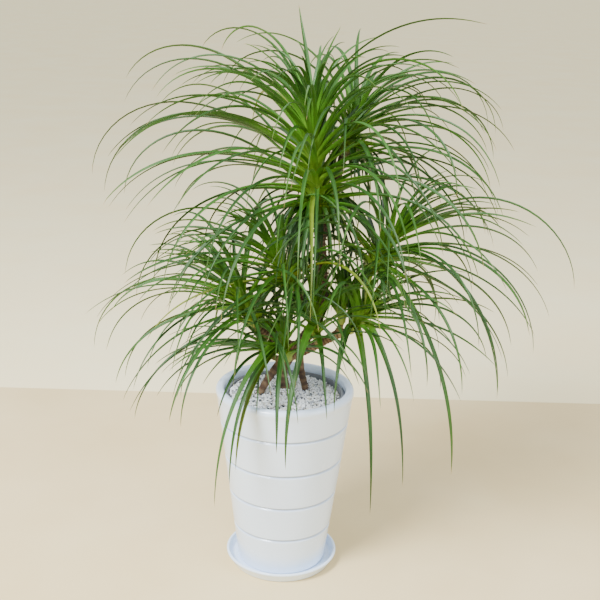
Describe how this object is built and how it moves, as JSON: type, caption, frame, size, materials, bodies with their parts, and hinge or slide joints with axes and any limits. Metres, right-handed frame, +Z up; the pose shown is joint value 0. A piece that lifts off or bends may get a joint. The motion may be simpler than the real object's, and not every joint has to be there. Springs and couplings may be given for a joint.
{
  "type": "potted screw pine",
  "caption": "Potted house plant: a branching ringed stem on stilt roots with rosettes of narrow arching leaves, in a tall glazed pot on a saucer.",
  "frame": {"origin": "on the floor under the saucer, at the pot's axis", "axes": "+Z up, +X to the plant's right as seen from its front, -Y towards its front"},
  "size_m": [0.7953, 0.695, 0.972],
  "materials": {
    "saucer_glaze": "gloss white glaze",
    "pot_glaze": "gloss white glaze",
    "nursery_plastic": "matte grey",
    "net_plastic": "matte black",
    "drainage_stone": "rough",
    "soil": "crumbly",
    "gravel": "rough",
    "bark": "ringed bark",
    "leaf": "waxy gloss"
  },
  "bodies": {
    "root": {"saucer": "saucer_glaze", "cover_pot": "pot_glaze", "nursery_pot": "nursery_plastic", "drainage_net": "net_plastic", "drainage_stones": "drainage_stone", "potting_soil": "soil", "gravel": "gravel", "stem_and_roots": "bark", "leaf_crown_top": "leaf", "leaf_crown_back": "leaf", "leaf_crown_right": "leaf", "leaf_crown_middle_left": "leaf", "leaf_crown_low_left": "leaf", "leaf_crown_low_right": "leaf", "leaf_crown_side": "leaf", "leaf_crown_fork": "leaf", "leaf_crown_front": "leaf", "leaf_crown_root": "leaf"}
  },
  "joints": []
}
